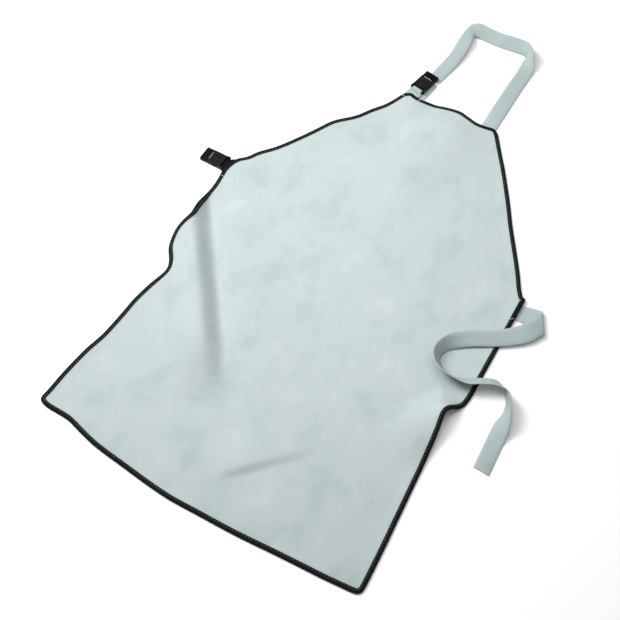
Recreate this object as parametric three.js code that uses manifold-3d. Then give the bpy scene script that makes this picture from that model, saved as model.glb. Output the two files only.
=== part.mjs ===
// Leather welding apron laid out face up, in millimetres.
// X runs across the apron, Y from the hem to the neck, and Z up from the surface it lies on.
import * as THREE from 'three';
import { mergeVertices } from 'three/addons/utils/BufferGeometryUtils.js';
import Module from 'manifold-3d';

const wasm = await Module();
wasm.setup();

// The cut leather, measured flat.
const hemWidth = 604;
const waistWidth = 604;
const bibWidth = 191;
const skirtLength = 577;
const bibLength = 312;
const leather = 1.8;

// The tape folded over every edge.
const clearance = 0.35;
const tapeWall = 1.0;
const tapeReach = 6.7;
const tapeGap = 0.3;
const rimLift = tapeWall + clearance;

// Straps and tabs.
const strapThickness = 1.6;
const strapStep = 10;
const strapPartsMost = 4;
const tabThickness = 1.2;
const tabStep = 4;

// Side-release buckle: U along its length from the sewn end, V across, Z up.
const buckle = { halfWidth: 14.75, flare: 1.5, flareTo: 9, height: 8, bevel: 0.7, round: 2 };
const socket = { length: 34.5, mouthHalf: 11.6, mouthFrom: 8.5, mouthLow: 2.2, mouthHigh: 5.8 };
const bar = { length: 3.4, low: 1.8, high: 3.6, slotTo: 6.6, slotHalf: 12.2 };
const catchWindow = { from: 14.5, to: 24, low: 1.5, high: 6.5 };
const plug = { from: 34.9, to: 51, low: 0.8, high: 6.8 };
const chamber = { from: 36.2, to: 47.6, half: 12, roof: 4.5 };
const ladder = { from: 41, to: 43, top: 2.0 };
const grip = { first: 38.5, step: 3.4, count: 3, length: 1.4, half: 10.5, depth: 0.5 };
const fork = { low: 2.6, high: 5.4 };
const catchArm = [[36, 7.8], [36, 10.6], [23.6, 10.6], [23, 13.4], [16.8, 13.4], [14.9, 10.4], [15.5, 8.2]];
const guideArm = [[36, -2.7], [36, 2.7], [13, 2], [13, -2]];

// Where the two buckles lie, and the way each one points from its sewn end.
const neckBuckle = { x: -82, y: 898.5, z: 2.2, turnDeg: 79 };
const waistBuckle = { x: -303, y: 557, z: 0, turnDeg: 180 };

// The middle of the laid-out apron, straps included, moves to the origin.
const middle = { x: 15.5, y: 540.87 };

// Corners of the cut, with the small shift that each one has as it lies.
const corners = {
  hemLeft: { x: -hemWidth / 2, y: 0, dx: -1, dy: -2, round: 9 },
  hemRight: { x: hemWidth / 2, y: 0, dx: 0.5, dy: -7.5, round: 10 },
  waistRight: { x: waistWidth / 2, y: skirtLength, dx: -3, dy: -6, round: 14 },
  bibRight: { x: bibWidth / 2, y: skirtLength + bibLength, dx: 0, dy: -1, round: 16 },
  bibLeft: { x: -bibWidth / 2, y: skirtLength + bibLength, dx: 2, dy: -7, round: 24 },
  waistLeft: { x: -waistWidth / 2, y: skirtLength, dx: 4.3, dy: -10.3, round: 60 },
};

// Edges in order round the cut, with how far each one lies inward at distances along it.
const edges = [
  { from: 'hemLeft', to: 'hemRight', cells: 22,
    pull: [
      { at: 0, inward: 0 }, { at: 14, inward: -2 }, { at: 30, inward: -2 },
      { at: 62, inward: -2 }, { at: 90, inward: -8.5 }, { at: 123, inward: -15 },
      { at: 150, inward: -18 }, { at: 265, inward: -25.5 }, { at: 330, inward: -23 },
      { at: 400, inward: -19 }, { at: 470, inward: -12.2 }, { at: 545, inward: -6 },
      { at: 604, inward: 0 },
    ] },
  { from: 'hemRight', to: 'waistRight', cells: 32,
    pull: [
      { at: 0, inward: 0 }, { at: 55, inward: 2 }, { at: 130, inward: 6.5 },
      { at: 220, inward: 12 }, { at: 243, inward: 14.2 }, { at: 275, inward: 16.8 },
      { at: 297, inward: 19.4 }, { at: 312, inward: 22 }, { at: 323, inward: 22.3 },
      { at: 331, inward: 18.5 }, { at: 339, inward: 10.5 }, { at: 348, inward: 4 },
      { at: 360, inward: 0.8 }, { at: 380, inward: -0.5 }, { at: 410, inward: 0 },
      { at: 578, inward: 0 },
    ] },
  { from: 'waistRight', to: 'bibRight', cells: 16,
    pull: [
      { at: 0, inward: 0 }, { at: 16, inward: 2 }, { at: 60, inward: -0.5 },
      { at: 160, inward: -1 }, { at: 208, inward: -2.9 }, { at: 280, inward: -3.4 },
      { at: 328, inward: -1.8 }, { at: 375, inward: 0 },
    ] },
  { from: 'bibRight', to: 'bibLeft', cells: 22,
    pull: [
      { at: 0, inward: 0 }, { at: 20, inward: 2.8 }, { at: 40, inward: 5 },
      { at: 60, inward: 1.6 }, { at: 76, inward: -2 }, { at: 108, inward: -2 },
      { at: 130, inward: 0.8 }, { at: 165, inward: 5 }, { at: 189, inward: 0 },
    ] },
  { from: 'bibLeft', to: 'waistLeft', cells: 16,
    pull: [
      { at: 0, inward: 0 }, { at: 45, inward: 4.6 }, { at: 80, inward: 2.9 },
      { at: 115, inward: 4 }, { at: 160, inward: -4.1 }, { at: 195, inward: -0.9 },
      { at: 230, inward: 2.4 }, { at: 285, inward: 4.7 }, { at: 325, inward: 0.6 },
      { at: 345, inward: 3.8 }, { at: 357, inward: 1.8 }, { at: 375, inward: 0 },
    ] },
  { from: 'waistLeft', to: 'hemLeft', cells: 32,
    pull: [
      { at: 0, inward: 0 }, { at: 20, inward: -2 }, { at: 40, inward: 0.2 },
      { at: 64, inward: 1.9 }, { at: 84, inward: 1.9 }, { at: 112, inward: 6.9 },
      { at: 138, inward: 14 }, { at: 150, inward: 17 }, { at: 189, inward: 9.3 },
      { at: 222, inward: 15.4 }, { at: 242, inward: 31.6 }, { at: 258, inward: 38 },
      { at: 270, inward: 33.4 }, { at: 283, inward: 28.2 }, { at: 298, inward: 24.8 },
      { at: 334, inward: 19.9 }, { at: 369, inward: 18.8 }, { at: 419, inward: 15.6 },
      { at: 454, inward: 8.4 }, { at: 509, inward: 3.2 }, { at: 544, inward: 2.2 },
      { at: 571, inward: 0 },
    ] },
];
const arcCells = 4;

// Folds: a crest line, its height at both ends, its reach to the left and right of the line, and its fade.
const sewnLift = { left: 55, right: 55, fade: 60 };
const folds = {
  leftRidge: { x0: -293, y0: 424, x1: -144, y1: 234, rise0: 33, rise1: 28, left: 40, right: 75, fade: 140 },
  middleSwell: { x0: -230, y0: 440, x1: 30, y1: 136, rise0: 5, rise1: 3, left: 110, right: 45, fade: 70 },
  rightRidge: { x0: 278, y0: 310, x1: 232, y1: 252, rise0: 19, rise1: 5, left: 85, right: 55, fade: 42 },
  hemSwell: { x0: 44, y0: 74, x1: 92, y1: 125, rise0: 5.5, rise1: 3.5, left: 70, right: 17, fade: 62 },
  neckWave: { x0: 22, y0: 895, x1: 16, y1: 800, rise0: 9, rise1: 0, left: 60, right: 60, fade: 60 },
  bibSwell: { x0: 21, y0: 840, x1: -5, y1: 687, rise0: 7, rise1: 5, left: 95, right: 120, fade: 55 },
  neckStrapLift: { x0: 79, y0: 900, x1: 79, y1: 862, rise0: 3.2, rise1: 3.2, ...sewnLift },
  neckTabLift: { x0: -82, y0: 900, x1: -82, y1: 868, rise0: 7.4, rise1: 7.4, ...sewnLift },
  waistStrapLift: { x0: 305, y0: 552, x1: 266, y1: 552, rise0: 3.2, rise1: 3.2, ...sewnLift },
  waistTabLift: { x0: -306, y0: 557, x1: -270, y1: 557, rise0: 5, rise1: 5, ...sewnLift },
};

// Sections along each strap: its middle, the way its width points in plan, and how far that width leans up.
const neckStrapSections = [
  { x: 79, y: 866, z: 0.8, across: 0, lean: 0, width: 31 },
  { x: 79, y: 900, z: 0.8, across: 0, lean: 0, width: 31 },
  { x: 79, y: 1000, z: 0.8, across: 0, lean: 0, width: 31 },
  { x: 80, y: 1040, z: 1.2, across: 0, lean: 1, width: 30 },
  { x: 78, y: 1066, z: 4.5, across: -4, lean: 14, width: 29 },
  { x: 75, y: 1078, z: 8.5, across: -25, lean: 33, width: 28.5 },
  { x: 71, y: 1087, z: 12, across: -20, lean: 56, width: 28 },
  { x: 66, y: 1094, z: 13, across: 40, lean: 72, width: 28 },
  { x: 57, y: 1100, z: 12.2, across: 100, lean: 52, width: 28 },
  { x: 44, y: 1102, z: 10.6, across: 104, lean: 38, width: 28 },
  { x: 29, y: 1101, z: 10, across: 98, lean: 36, width: 28 },
  { x: 6, y: 1099, z: 9, across: 95, lean: 33, width: 28 },
  { x: -11, y: 1099, z: 8.2, across: 95, lean: 31, width: 28 },
  { x: -26, y: 1099, z: 8.8, across: 98, lean: 30, width: 28.5 },
  { x: -38, y: 1100, z: 10, across: 105, lean: 28, width: 29 },
  { x: -47, y: 1099, z: 10.5, across: 113, lean: 22, width: 29 },
  { x: -54, y: 1096, z: 10.5, across: 123, lean: 14, width: 28.5 },
  { x: -57, y: 1090, z: 10.5, across: 135, lean: 6, width: 28.5 },
  { x: -58, y: 1081, z: 10.5, across: 147, lean: -2, width: 28.5 },
  { x: -58, y: 1071, z: 10.5, across: 158, lean: -6, width: 28 },
  { x: -57, y: 1056, z: 9.8, across: 174, lean: -8, width: 28 },
  { x: -56, y: 1014, z: 5.5, across: 178, lean: -4, width: 28 },
  { x: -62, y: 970, z: 2.2, across: 171, lean: -1, width: 28 },
];

// The rest of the neck strap in the buckle's frame: up round the ladder bar, and a tail under the buckle.
const neckTailSections = [
  { u: 54, v: -7, z: 0.9, width: 28.5 },
  { u: 46.6, v: -6.5, z: 1, width: 27.5 },
  { u: 45.7, v: -1.5, z: 1.5, width: 21 },
  { u: 45.2, v: -1, z: 2.2, width: 20 },
  { u: 44.5, v: -1, z: 4.2, width: 20 },
  { u: 43.4, v: -1, z: 5.4, width: 20 },
  { u: 40.6, v: -1, z: 5.4, width: 20 },
  { u: 39.5, v: -1, z: 4.2, width: 20 },
  { u: 38.8, v: -1, z: 2.2, width: 20 },
  { u: 38.3, v: -1.5, z: 1.5, width: 21 },
  { u: 37.4, v: -7, z: 1, width: 27 },
  { u: 33, v: -8.5, z: 0.8, width: 28 },
  { u: 22.5, v: -9.5, z: 0.8, width: 28 },
  { u: -6.5, v: -11, z: 0.8, width: 28 },
];
const waistStrapSections = [
  { x: 272, y: 550, z: 0.8, across: 90, lean: 0, width: 34 },
  { x: 302, y: 550, z: 0.8, across: 90, lean: 0, width: 33 },
  { x: 318, y: 552, z: 1.4, across: 98, lean: 0, width: 34 },
  { x: 334, y: 553.5, z: 3.2, across: 112, lean: 0, width: 36 },
  { x: 345, y: 551, z: 6.5, across: 117, lean: 0, width: 41 },
  { x: 342, y: 541, z: 9.5, across: 120, lean: 3, width: 40 },
  { x: 326, y: 512, z: 10, across: 131, lean: 9, width: 33 },
  { x: 290, y: 480.5, z: 9.5, across: 132, lean: 14, width: 28.5 },
  { x: 258, y: 461, z: 10.5, across: 131, lean: 18, width: 28 },
  { x: 238, y: 445.5, z: 11.5, across: 136, lean: 27, width: 28 },
  { x: 223, y: 427.5, z: 13, across: 152, lean: 45, width: 28 },
  { x: 217, y: 406.5, z: 14.5, across: 182, lean: 56, width: 28 },
  { x: 224, y: 389.5, z: 15, across: 222, lean: 61, width: 28 },
  { x: 242, y: 379.5, z: 15, across: 248, lean: 62, width: 28 },
  { x: 266, y: 377.5, z: 15, across: 266, lean: 60, width: 28 },
  { x: 287, y: 383.5, z: 15.6, across: 278, lean: 45, width: 28 },
  { x: 305, y: 394.5, z: 15.6, across: 285, lean: 45, width: 28 },
  { x: 325, y: 404.5, z: 13, across: 291, lean: 47, width: 28 },
  { x: 344, y: 401, z: 14, across: 306, lean: 60, width: 28 },
  { x: 358, y: 383, z: 14, across: 330, lean: 74, width: 28 },
  { x: 364, y: 362, z: 11.5, across: 345, lean: 60, width: 28 },
  { x: 366, y: 340, z: 5.5, across: 354, lean: 24, width: 28 },
  { x: 368, y: 314, z: 1, across: 358, lean: 1, width: 28 },
  { x: 371, y: 259, z: 0.8, across: 358, lean: 0, width: 28 },
];

// The tab in the buckle's own frame: out from the seam, round the bar and back, and how far it has spread.
const tabWidth = { atBar: 21, neckSeam: 29, waistSeam: 38 };
const tabRows = [
  { u: -30, z: 2.1, spread: 1 },
  { u: -6, z: 2.1, spread: 0.9 },
  { u: -3, z: 3, spread: 0.5 },
  { u: -0.8, z: 4.4, spread: 0 },
  { u: 3.3, z: 4.75, spread: 0 },
  { u: 5, z: 3.6, spread: 0 },
  { u: 5, z: 1.7, spread: 0 },
  { u: 3.3, z: 0.62, spread: 0 },
  { u: -0.8, z: 0.6, spread: 0 },
  { u: -3, z: 0.6, spread: 0.5 },
  { u: -6, z: 0.6, spread: 0.9 },
  { u: -30, z: 0.6, spread: 1 },
];

const paleLeather = new THREE.MeshStandardMaterial({ color: 0xcddcda, roughness: 0.9, metalness: 0 });
const strapLeather = new THREE.MeshStandardMaterial({ color: 0xb8ccc8, roughness: 0.85, metalness: 0 });
const blackTape = new THREE.MeshStandardMaterial({ color: 0x1c2626, roughness: 0.8, metalness: 0 });
const blackPlastic = new THREE.MeshStandardMaterial({ color: 0x141414, roughness: 0.4, metalness: 0 });

const radians = THREE.MathUtils.degToRad;
const mix = THREE.MathUtils.lerp;

// A smooth curve through rows of values at increasing positions.
function smoothRow(values, position) {
  const last = values.length - 1;
  const start = Math.min(Math.floor(position), last - 1);
  const t = position - start;
  const before = values[Math.max(start - 1, 0)];
  const after = values[Math.min(start + 2, last)];
  const slope0 = (values[start + 1] - before) / 2;
  const slope1 = (after - values[start]) / 2;
  const t2 = t * t;
  const t3 = t2 * t;
  return (2 * t3 - 3 * t2 + 1) * values[start] + (t3 - 2 * t2 + t) * slope0
    + (3 * t2 - 2 * t3) * values[start + 1] + (t3 - t2) * slope1;
}

// How far an edge lies inward at a distance along it.
function pullAt(pull, distance) {
  let k = 0;
  while (k < pull.length - 2 && distance > pull[k + 1].at) k += 1;
  const span = pull[k + 1].at - pull[k].at;
  const t = THREE.MathUtils.clamp((distance - pull[k].at) / span, 0, 1);
  return smoothRow(pull.map((row) => row.inward), k + t);
}

function fadeOut(distance, reach) {
  return Math.abs(distance) >= reach ? 0 : 0.5 * (1 + Math.cos((Math.PI * distance) / reach));
}

// Height of the leather's underside above the surface, from the folds alone.
function foldHeight(x, y) {
  let height = 0;
  for (const fold of Object.values(folds)) {
    const length = Math.hypot(fold.x1 - fold.x0, fold.y1 - fold.y0);
    const dirX = (fold.x1 - fold.x0) / length;
    const dirY = (fold.y1 - fold.y0) / length;
    const along = (x - fold.x0) * dirX + (y - fold.y0) * dirY;
    const aside = (y - fold.y0) * dirX - (x - fold.x0) * dirY;
    const past = along < 0 ? -along : Math.max(along - length, 0);
    const rise = mix(fold.rise0, fold.rise1, THREE.MathUtils.clamp(along / length, 0, 1));
    height += rise * fadeOut(past, fold.fade) * fadeOut(aside, aside > 0 ? fold.left : fold.right);
  }
  return height;
}

// Upright thickness of a sloping sheet for each millimetre of its true thickness.
function slopeFactor(x, y) {
  const step = 4;
  const slopeX = (foldHeight(x + step, y) - foldHeight(x - step, y)) / (2 * step);
  const slopeY = (foldHeight(x, y + step) - foldHeight(x, y - step)) / (2 * step);
  return Math.hypot(1, slopeX, slopeY);
}

// A point of the leather's underside with the lift it has near the taped rim.
function sheetPoint(x, y, lift) {
  return { x, y, z: foldHeight(x, y) + lift, factor: slopeFactor(x, y) };
}

function cornerPoint(name) {
  const corner = corners[name];
  return new THREE.Vector2(corner.x + corner.dx, corner.y + corner.dy);
}

// The round at a corner: where it starts and ends, and the points between.
function cornerArc(name, before, after) {
  const at = cornerPoint(name);
  const into = at.clone().sub(cornerPoint(before)).normalize();
  const out = cornerPoint(after).sub(at).normalize();
  const turn = Math.acos(THREE.MathUtils.clamp(into.dot(out), -1, 1));
  const radius = corners[name].round;
  const tangent = radius * Math.tan(turn / 2);
  const start = at.clone().addScaledVector(into, -tangent);
  const centre = start.clone().add(new THREE.Vector2(-into.y, into.x).multiplyScalar(radius));
  const pointAt = (share) => start.clone().rotateAround(centre, turn * share);
  return { tangent, pointAt };
}

// Points round the cut, each edge with half of the round at both of its ends.
function cutOutline() {
  const points = [];
  edges.forEach((edge, k) => {
    const previous = edges[(k + edges.length - 1) % edges.length];
    const next = edges[(k + 1) % edges.length];
    const startArc = cornerArc(edge.from, previous.from, edge.to);
    const endArc = cornerArc(edge.to, edge.from, next.to);
    const start = cornerPoint(edge.from);
    const along = cornerPoint(edge.to).sub(start);
    const length = along.length();
    along.normalize();
    const inward = new THREE.Vector2(-along.y, along.x);
    points.push(startArc.pointAt(0.5), startArc.pointAt(0.75));
    for (let i = 0; i <= edge.cells; i += 1) {
      const distance = mix(startArc.tangent, length - endArc.tangent, i / edge.cells);
      const pull = i === 0 || i === edge.cells ? 0 : pullAt(edge.pull, distance);
      points.push(start.clone().addScaledVector(along, distance).addScaledVector(inward, pull));
    }
    points.push(endArc.pointAt(0.25));
  });
  return points;
}

// Rim stations: the cut edge, and a point inside it under the tape's inner edge.
function rimStations() {
  const points = cutOutline();
  const count = points.length;
  return points.map((point, i) => {
    const along = points[(i + 1) % count].clone().sub(points[(i + count - 1) % count]).normalize();
    const inner = point.clone().add(new THREE.Vector2(-along.y, along.x).multiplyScalar(tapeReach));
    return { edge: sheetPoint(point.x, point.y, rimLift), inner: sheetPoint(inner.x, inner.y, rimLift) };
  });
}

// A closed mesh from points and triangles, turned inside out where its volume comes out negative.
function closedGeometry(points, triangles) {
  const volume = triangles.reduce((sum, [a, b, c]) => {
    return sum + points[a].dot(new THREE.Vector3().crossVectors(points[b], points[c]));
  }, 0);
  const index = volume < 0 ? triangles.map(([a, b, c]) => [a, c, b]) : triangles;
  const geometry = new THREE.BufferGeometry().setFromPoints(points);
  geometry.setIndex(index.flat());
  geometry.computeVertexNormals();
  return geometry;
}

// A solid swept through rows of section points. Edges in crossed have their quads cut the other way.
function sweptGeometry(rows, capTriangles, crossed = []) {
  const size = rows[0].length;
  const points = rows.flat();
  const triangles = [];
  for (let i = 0; i + 1 < rows.length; i += 1) {
    for (let k = 0; k < size; k += 1) {
      const a = i * size + k;
      const b = i * size + ((k + 1) % size);
      if (crossed.includes(k)) triangles.push([a, b, a + size], [b, b + size, a + size]);
      else triangles.push([a, b, b + size], [a, b + size, a + size]);
    }
  }
  const last = (rows.length - 1) * size;
  for (const [a, b, c] of capTriangles) {
    triangles.push([a, c, b], [last + a, last + b, last + c]);
  }
  return closedGeometry(points, triangles);
}

// Shares of the way along a line of points, from 0 to 1.
function sharesAlong(points) {
  const shares = [0];
  for (let i = 1; i < points.length; i += 1) {
    shares.push(shares[i - 1] + Math.hypot(points[i].x - points[i - 1].x, points[i].y - points[i - 1].y));
  }
  return shares.map((share) => share / shares[shares.length - 1]);
}

// The cut leather: a ring under the tape and a grid stretched between its four sides.
function apronGeometry(rim) {
  const count = rim.length;
  const across = edges[0].cells + arcCells;
  const lengthwise = count / 2 - across;
  const inner = (i) => rim[(i + count) % count].inner;
  const bottom = Array.from({ length: across + 1 }, (_, i) => inner(i));
  const right = Array.from({ length: lengthwise + 1 }, (_, j) => inner(across + j));
  const top = Array.from({ length: across + 1 }, (_, i) => inner(2 * across + lengthwise - i));
  const left = Array.from({ length: lengthwise + 1 }, (_, j) => inner(count - j));
  const bottomShares = sharesAlong(bottom);
  const topShares = sharesAlong(top);
  const leftShares = sharesAlong(left);
  const rightShares = sharesAlong(right);

  const gridPoint = (i, j) => {
    const u = (bottomShares[i] + topShares[i]) / 2;
    const v = (leftShares[j] + rightShares[j]) / 2;
    const blend = (axis) => mix(bottom[i][axis], top[i][axis], v) + mix(left[j][axis], right[j][axis], u)
      - mix(mix(bottom[0][axis], bottom[across][axis], u), mix(top[0][axis], top[across][axis], u), v);
    return sheetPoint(blend('x'), blend('y'), 0);
  };
  const sheet = [...rim.map((station) => station.edge), ...rim.map((station) => station.inner)];
  for (let j = 1; j < lengthwise; j += 1) {
    for (let i = 1; i < across; i += 1) sheet.push(gridPoint(i, j));
  }
  const gridIndex = (i, j) => {
    if (j === 0) return count + i;
    if (i === across) return count + across + j;
    if (j === lengthwise) return count + 2 * across + lengthwise - i;
    if (i === 0) return count + ((count - j) % count);
    return 2 * count + (j - 1) * (across - 1) + i - 1;
  };

  const faces = [];
  for (let i = 0; i < count; i += 1) {
    const next = (i + 1) % count;
    faces.push([i, next, count + next], [i, count + next, count + i]);
  }
  for (let j = 0; j < lengthwise; j += 1) {
    for (let i = 0; i < across; i += 1) {
      const [a, b] = [gridIndex(i, j), gridIndex(i + 1, j)];
      const [c, d] = [gridIndex(i + 1, j + 1), gridIndex(i, j + 1)];
      faces.push([a, b, c], [a, c, d]);
    }
  }
  const under = sheet.map((point) => new THREE.Vector3(point.x, point.y, point.z));
  const over = sheet.map((point) => new THREE.Vector3(point.x, point.y, point.z + leather * point.factor));
  const triangles = faces.map(([a, b, c]) => [a, c, b]);
  for (const face of faces) triangles.push(face.map((index) => index + sheet.length));
  for (let i = 0; i < count; i += 1) {
    const next = (i + 1) % count;
    triangles.push([i, next, next + sheet.length], [i, next + sheet.length, i + sheet.length]);
  }
  return closedGeometry([...under, ...over], triangles);
}

// The tape's folded section, as distance inward from the cut edge and height over the underside.
const tapeSection = [
  { inward: tapeReach, up: leather + rimLift },
  { inward: -rimLift, up: leather + rimLift },
  { inward: -rimLift, up: -rimLift },
  { inward: tapeReach, up: -rimLift },
  { inward: tapeReach, up: -clearance },
  { inward: -clearance, up: -clearance },
  { inward: -clearance, up: leather + clearance },
  { inward: tapeReach, up: leather + clearance },
];
const tapeCaps = [[0, 1, 6], [0, 6, 7], [1, 2, 5], [1, 5, 6], [2, 3, 4], [2, 4, 5]];
const tapeCrossed = [0, 4];
const sliver = 0.1;

function tapeRow(station) {
  return tapeSection.map(({ inward, up }) => {
    const share = inward / tapeReach;
    const blend = (key) => mix(station.edge[key], station.inner[key], share);
    const stretch = up > 0 ? blend('factor') : 1;
    return new THREE.Vector3(blend('x'), blend('y'), Math.max(blend('z') + up * stretch, 0));
  });
}

// A stretch of tape between two places on the rim, counted in stations.
function tapeGeometry(rim, from, to) {
  const rowAt = (place) => {
    const start = Math.floor(place);
    const here = tapeRow(rim[start % rim.length]);
    const next = tapeRow(rim[(start + 1) % rim.length]);
    return here.map((point, k) => point.clone().lerp(next[k], place - start));
  };
  const places = [from];
  for (let i = Math.ceil(from + sliver); i < to - sliver; i += 1) places.push(i);
  places.push(to);
  return sweptGeometry(places.map(rowAt), tapeCaps, tapeCrossed);
}

// Rows given along a buckle, as sections of a strap that runs from the far end to the sewn end.
function alongBuckle(place, rows) {
  const turn = radians(place.turnDeg);
  return rows.map(({ u, v, z, width }) => ({
    x: place.x + u * Math.cos(turn) - v * Math.sin(turn),
    y: place.y + u * Math.sin(turn) + v * Math.cos(turn),
    z, across: place.turnDeg - 270, lean: 0, width,
  }));
}

// A flat strap through its sections, with stations about one step apart and none below the surface.
function ribbonGeometry(sections, thickness, step) {
  const widthWay = sections.map(({ across, lean }) => new THREE.Vector3(
    Math.cos(radians(lean)) * Math.cos(radians(across)),
    Math.cos(radians(lean)) * Math.sin(radians(across)),
    Math.sin(radians(lean)),
  ));
  const column = (key) => sections.map((section) => section[key]);
  const middleAt = (place) => new THREE.Vector3(
    smoothRow(column('x'), place), smoothRow(column('y'), place), smoothRow(column('z'), place));
  const places = [];
  for (let k = 0; k + 1 < sections.length; k += 1) {
    const reach = middleAt(k).distanceTo(middleAt(k + 1));
    const parts = Math.min(Math.max(Math.round(reach / step), 1), strapPartsMost);
    for (let part = 0; part < parts; part += 1) places.push(k + part / parts);
  }
  places.push(sections.length - 1);
  const nudge = 0.01;
  const rows = places.map((place) => {
    const at = middleAt(place);
    const ahead = middleAt(Math.min(place + nudge, sections.length - 1));
    const forward = ahead.sub(middleAt(Math.max(place - nudge, 0))).normalize();
    const wide = new THREE.Vector3(...['x', 'y', 'z'].map((axis) => smoothRow(
      widthWay.map((way) => way[axis]), place)));
    wide.normalize();
    const face = new THREE.Vector3().crossVectors(forward, wide).normalize();
    const half = smoothRow(column('width'), place) / 2;
    const corner = (side, level) => at.clone().addScaledVector(wide, side * half)
      .addScaledVector(face, (level * thickness) / 2);
    const row = [corner(-1, -1), corner(1, -1), corner(1, 1), corner(-1, 1)];
    const sunk = Math.min(0, ...row.map((point) => point.z));
    row.forEach((point) => point.setZ(point.z - sunk));
    return row;
  });
  return sweptGeometry(rows, [[0, 1, 2], [0, 2, 3]]);
}

function toSolid(geometry) {
  const bare = geometry.clone();
  bare.deleteAttribute('normal');
  bare.deleteAttribute('uv');
  const merged = mergeVertices(bare);
  const vertProperties = new Float32Array(merged.attributes.position.array);
  const triVerts = new Uint32Array(merged.index.array);
  return new wasm.Manifold(new wasm.Mesh({ numProp: 3, vertProperties, triVerts }));
}

function toGeometry(solid) {
  const mesh = solid.getMesh();
  const geometry = new THREE.BufferGeometry();
  geometry.setAttribute('position', new THREE.Float32BufferAttribute(mesh.vertProperties, 3));
  geometry.setIndex(new THREE.BufferAttribute(mesh.triVerts, 1));
  geometry.computeVertexNormals();
  return geometry;
}

function box(u0, u1, halfV, z0, z1) {
  const geometry = new THREE.BoxGeometry(u1 - u0, 2 * halfV, z1 - z0);
  return toSolid(geometry.translate((u0 + u1) / 2, 0, (z0 + z1) / 2));
}

// An outline extruded upright between two levels, with small bevels on both faces.
function plate(shape, low, high, bevel) {
  const geometry = new THREE.ExtrudeGeometry(shape, {
    depth: high - low - 2 * bevel, bevelEnabled: bevel > 0, bevelThickness: bevel, bevelSize: bevel,
    bevelOffset: -bevel, bevelSegments: 1, curveSegments: 4,
  });
  return toSolid(geometry.translate(0, 0, low + bevel));
}

function socketShape() {
  const { halfWidth: half, flare, flareTo, round } = buckle;
  const wide = half + flare;
  const shape = new THREE.Shape();
  shape.moveTo(0, round - wide);
  shape.quadraticCurveTo(0, -wide, round, -wide);
  shape.quadraticCurveTo(flareTo / 2, -half, flareTo, -half);
  shape.lineTo(socket.length, -half);
  shape.lineTo(socket.length, half);
  shape.lineTo(flareTo, half);
  shape.quadraticCurveTo(flareTo / 2, half, round, wide);
  shape.quadraticCurveTo(0, wide, 0, wide - round);
  return shape;
}

// The hollow half, with a bar for the tab and a window on each side for the catches.
function socketGeometry() {
  const over = buckle.height + 1;
  const solid = plate(socketShape(), 0, buckle.height, buckle.bevel)
    .subtract(box(socket.mouthFrom, socket.length + 1, socket.mouthHalf, socket.mouthLow, socket.mouthHigh))
    .subtract(box(catchWindow.from, catchWindow.to, buckle.halfWidth + 1, catchWindow.low, catchWindow.high)
      .subtract(box(catchWindow.from - 1, catchWindow.to + 1, socket.mouthHalf, -1, over)))
    .subtract(box(bar.length, bar.slotTo, bar.slotHalf, -1, over))
    .subtract(box(-1, bar.length, bar.slotHalf, bar.high, over))
    .subtract(box(-1, bar.length, bar.slotHalf, -1, bar.low));
  return toGeometry(solid);
}

function plugShape() {
  const { halfWidth: half, round } = buckle;
  const shape = new THREE.Shape();
  shape.moveTo(plug.from, -half);
  shape.lineTo(plug.to - round, -half);
  shape.quadraticCurveTo(plug.to, -half, plug.to, round - half);
  shape.lineTo(plug.to, half - round);
  shape.quadraticCurveTo(plug.to, half, plug.to - round, half);
  shape.lineTo(plug.from, half);
  return shape;
}

function polygon(points) {
  return new THREE.Shape(points.map(([u, v]) => new THREE.Vector2(u, v)));
}

// The forked half: two catches and a guide, and a ladder bar in a chamber for the strap.
function plugGeometry() {
  const otherArm = catchArm.map(([u, v]) => [u, -v]);
  let solid = plate(plugShape(), plug.low, plug.high, buckle.bevel)
    .subtract(box(chamber.from, chamber.to, chamber.half, -1, chamber.roof))
    .add(box(ladder.from, ladder.to, chamber.half + 1, plug.low, ladder.top));
  for (const outline of [catchArm, otherArm, guideArm]) {
    solid = solid.add(plate(polygon(outline), fork.low, fork.high, 0));
  }
  for (let k = 0; k < grip.count; k += 1) {
    const from = grip.first + k * grip.step;
    solid = solid.subtract(box(from, from + grip.length, grip.half, plug.high - grip.depth, buckle.height));
  }
  return toGeometry(solid);
}

function named(name, geometry, material) {
  const mesh = new THREE.Mesh(geometry, material);
  mesh.name = name;
  return mesh;
}

// A fastened buckle with the tab that holds it.
function buckleGroup(prefix, place, seamWidth, tabMaterial) {
  const tabSections = tabRows.map(({ u, z, spread }) => ({
    x: u, y: 0, z, across: 90, lean: 0, width: mix(tabWidth.atBar, seamWidth, spread),
  }));
  const group = new THREE.Group();
  group.add(named(`${prefix}_buckle_socket`, socketGeometry(), blackPlastic));
  group.add(named(`${prefix}_buckle_plug`, plugGeometry(), blackPlastic));
  group.add(named(`${prefix}_tab`, ribbonGeometry(tabSections, tabThickness, tabStep), tabMaterial));
  group.position.set(place.x, place.y, place.z);
  group.rotation.z = radians(place.turnDeg);
  return group;
}

const rim = rimStations();
const edgeStart = [];
edges.reduce((start, edge) => {
  edgeStart.push(start);
  return start + edge.cells + arcCells;
}, 0);
const [hemAt, rightSideAt, rightArmAt, neckAt, leftArmAt, leftSideAt] = edgeStart;

// Distances along the cut edge to each station, and round to the first one again.
const reach = [0];
rim.forEach(({ edge }, i) => {
  const next = rim[(i + 1) % rim.length].edge;
  reach.push(reach[i] + Math.hypot(next.x - edge.x, next.y - edge.y));
});

// The place, counted in stations, that lies a distance past a station.
function placePast(station, past) {
  const distance = reach[station] + past;
  let k = 0;
  while (k < rim.length - 1 && distance > reach[k + 1]) k += 1;
  return k + (distance - reach[k]) / (reach[k + 1] - reach[k]);
}

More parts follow.
